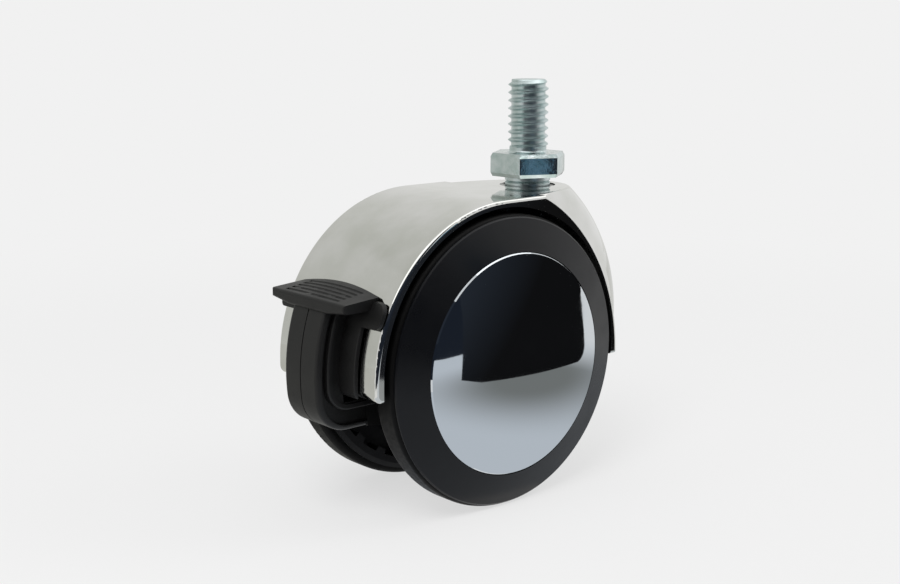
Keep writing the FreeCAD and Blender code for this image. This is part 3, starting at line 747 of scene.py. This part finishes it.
def mirror_only(bm, name, material):
    """A stage piece that only reflections show."""
    piece = temporary(bm, name)
    piece.data.materials.append(material)
    piece.visible_camera = False
    piece.visible_diffuse = False
    piece.visible_shadow = False


def swept(name, points, run, material, lean=None, corner=0.0):
    """A sheet made by moving a line of points along; its last corners can lean in and be round."""
    bm = bmesh.new()
    verts = [bm.verts.new(point) for point in points]
    edges = [bm.edges.new(pair) for pair in zip(verts, verts[1:])]
    made = bmesh.ops.extrude_edge_only(bm, edges=edges)["geom"]
    moved = [item for item in made if isinstance(item, bmesh.types.BMVert)]
    bmesh.ops.translate(bm, verts=moved, vec=run)
    if lean is not None:
        last = [vert for vert in moved if (vert.co - points[-1] - run).length < NEARLY]
        bmesh.ops.translate(bm, verts=last, vec=lean)
        bmesh.ops.bevel(bm, geom=last + [verts[-1]], offset=corner, offset_type="OFFSET",
                        affect="VERTICES", segments=6, profile=0.5, material=-1)
    mirror_only(bm, name, material)


def upright(name, plan, low, height, code):
    """An upright card of one colour."""
    swept(name, from_below_axle(plan, low), Z_AXIS * height * MM,
          flat_paint(name.replace("_", " "), code))


def sheet(name, corners, material):
    """A flat sheet between its corners."""
    bm = bmesh.new()
    bm.faces.new([bm.verts.new(corner) for corner in corners])
    mirror_only(bm, name, material)


def soft_lamp(name, place, watts):
    """A disc of light that faces the axle and shows in no mirror."""
    lamp = bpy.data.lights.new(name, "AREA")
    lamp.shape = "DISK"
    lamp.size = LAMP_SIZE
    lamp.energy = watts
    piece = bpy.data.objects.new(name, lamp)
    piece.location = place
    piece.rotation_euler = (AXLE - piece.location).to_track_quat("-Z", "Y").to_euler()
    piece.visible_glossy = False
    bpy.context.scene.collection.objects.link(piece)


def photograph_camera():
    """The camera, where the photograph was taken from."""
    data = bpy.data.cameras.new("camera")
    data.lens = CAMERA_LENS
    data.sensor_width = SENSOR_WIDTH
    data.clip_start = CLIP_START
    camera = bpy.data.objects.new("camera", data)
    camera.location = CAMERA_PLACE
    camera.rotation_euler = (math.radians(90) - CAMERA_TILT, 0, CAMERA_TURN)
    bpy.context.scene.collection.objects.link(camera)
    bpy.context.scene.camera = camera


def from_below_axle(points_mm, height_mm=0.0):
    """Points of a plan in millimetres, as places at one height over the floor."""
    return [BELOW_AXLE + Vector((x, y, height_mm)) * MM for x, y in points_mm]


class CASTOR_OT_stage(bpy.types.Operator):
    """Camera, pale floor and background, lamps and the cards that the chrome mirrors"""
    bl_idname = "castor.stage"
    bl_label = "Stage"

    def execute(self, context):
        colour = context.scene.castor_colours.studio
        context.scene.view_settings.view_transform = "Standard"
        photograph_camera()
        pale_world(colour, WORLD_STRENGTH)
        floor(colour)
        for name, place, watts in LAMPS:
            soft_lamp(name, place, watts)
        swept("near_screen", from_below_axle(NEAR_SCREEN), Z_AXIS * NEAR_SCREEN_HEIGHT * MM,
              near_screen_paint(), Vector(NEAR_SCREEN_LEAN) * MM, NEAR_SCREEN_CORNER * MM)
        upright("far_screen", *FAR_SCREEN)
        upright("blue_card", *BLUE_CARD)
        sheet("overhead_light", [AXLE + Vector((x, y, OVERHEAD_HEIGHT)) * MM
                                 for x, y in OVERHEAD_LIGHT],
              flat_paint("overhead light", "#ffffff", OVERHEAD_STRENGTH))
        upright("dark_room", *DARK_ROOM)
        swept("backdrop", [BELOW_AXLE + Vector((-BACKDROP_REACH, y, z)) * MM for y, z in BACKDROP],
              X_AXIS * 2 * BACKDROP_REACH * MM, backdrop_paint())
        for name, corners, height, code in FLOOR_SHEETS:
            sheet(name, from_below_axle(corners, height),
                  flat_paint(name.replace("_", " "), code))
        sheet("shaded_floor", from_below_axle(SHADED_FLOOR, SHADED_FLOOR_HEIGHT),
              shaded_floor_paint(colour))
        return {"FINISHED"}


class CASTOR_PT_panel(bpy.types.Panel):
    """Sizes, colours and making of the castor"""
    bl_idname = "CASTOR_PT_panel"
    bl_label = "Hooded stem castor"
    bl_space_type = "VIEW_3D"
    bl_region_type = "UI"
    bl_category = "Castor"

    def draw(self, context):
        for group in (context.scene.castor_stem, context.scene.castor_colours):
            box = self.layout.box()
            for name in group.__annotations__:
                box.prop(group, name)
        for operator in OPERATORS:
            self.layout.operator(operator.bl_idname)


GROUPS = (StemSizes, CastorColours)
OPERATORS = (CASTOR_OT_threaded_stem, CASTOR_OT_hood, CASTOR_OT_wheels, CASTOR_OT_hub_caps,
             CASTOR_OT_brake_lever, CASTOR_OT_inner_steel, CASTOR_OT_stage)


def register():
    """Make the sizes, colours, operators and panel known to Blender."""
    for kind in GROUPS + OPERATORS + (CASTOR_PT_panel,):
        bpy.utils.register_class(kind)
    bpy.types.Scene.castor_stem = bpy.props.PointerProperty(type=StemSizes)
    bpy.types.Scene.castor_colours = bpy.props.PointerProperty(type=CastorColours)


def unregister():
    """Take away all that register added."""
    del bpy.types.Scene.castor_stem
    del bpy.types.Scene.castor_colours
    for kind in reversed(GROUPS + OPERATORS + (CASTOR_PT_panel,)):
        bpy.utils.unregister_class(kind)


def main():
    """Build the castor and its stage."""
    register()
    bpy.ops.castor.threaded_stem()
    bpy.ops.castor.hood()
    bpy.ops.castor.wheels()
    bpy.ops.castor.hub_caps()
    bpy.ops.castor.brake_lever()
    bpy.ops.castor.inner_steel()
    bpy.ops.castor.stage()


if __name__ == "__main__":
    main()
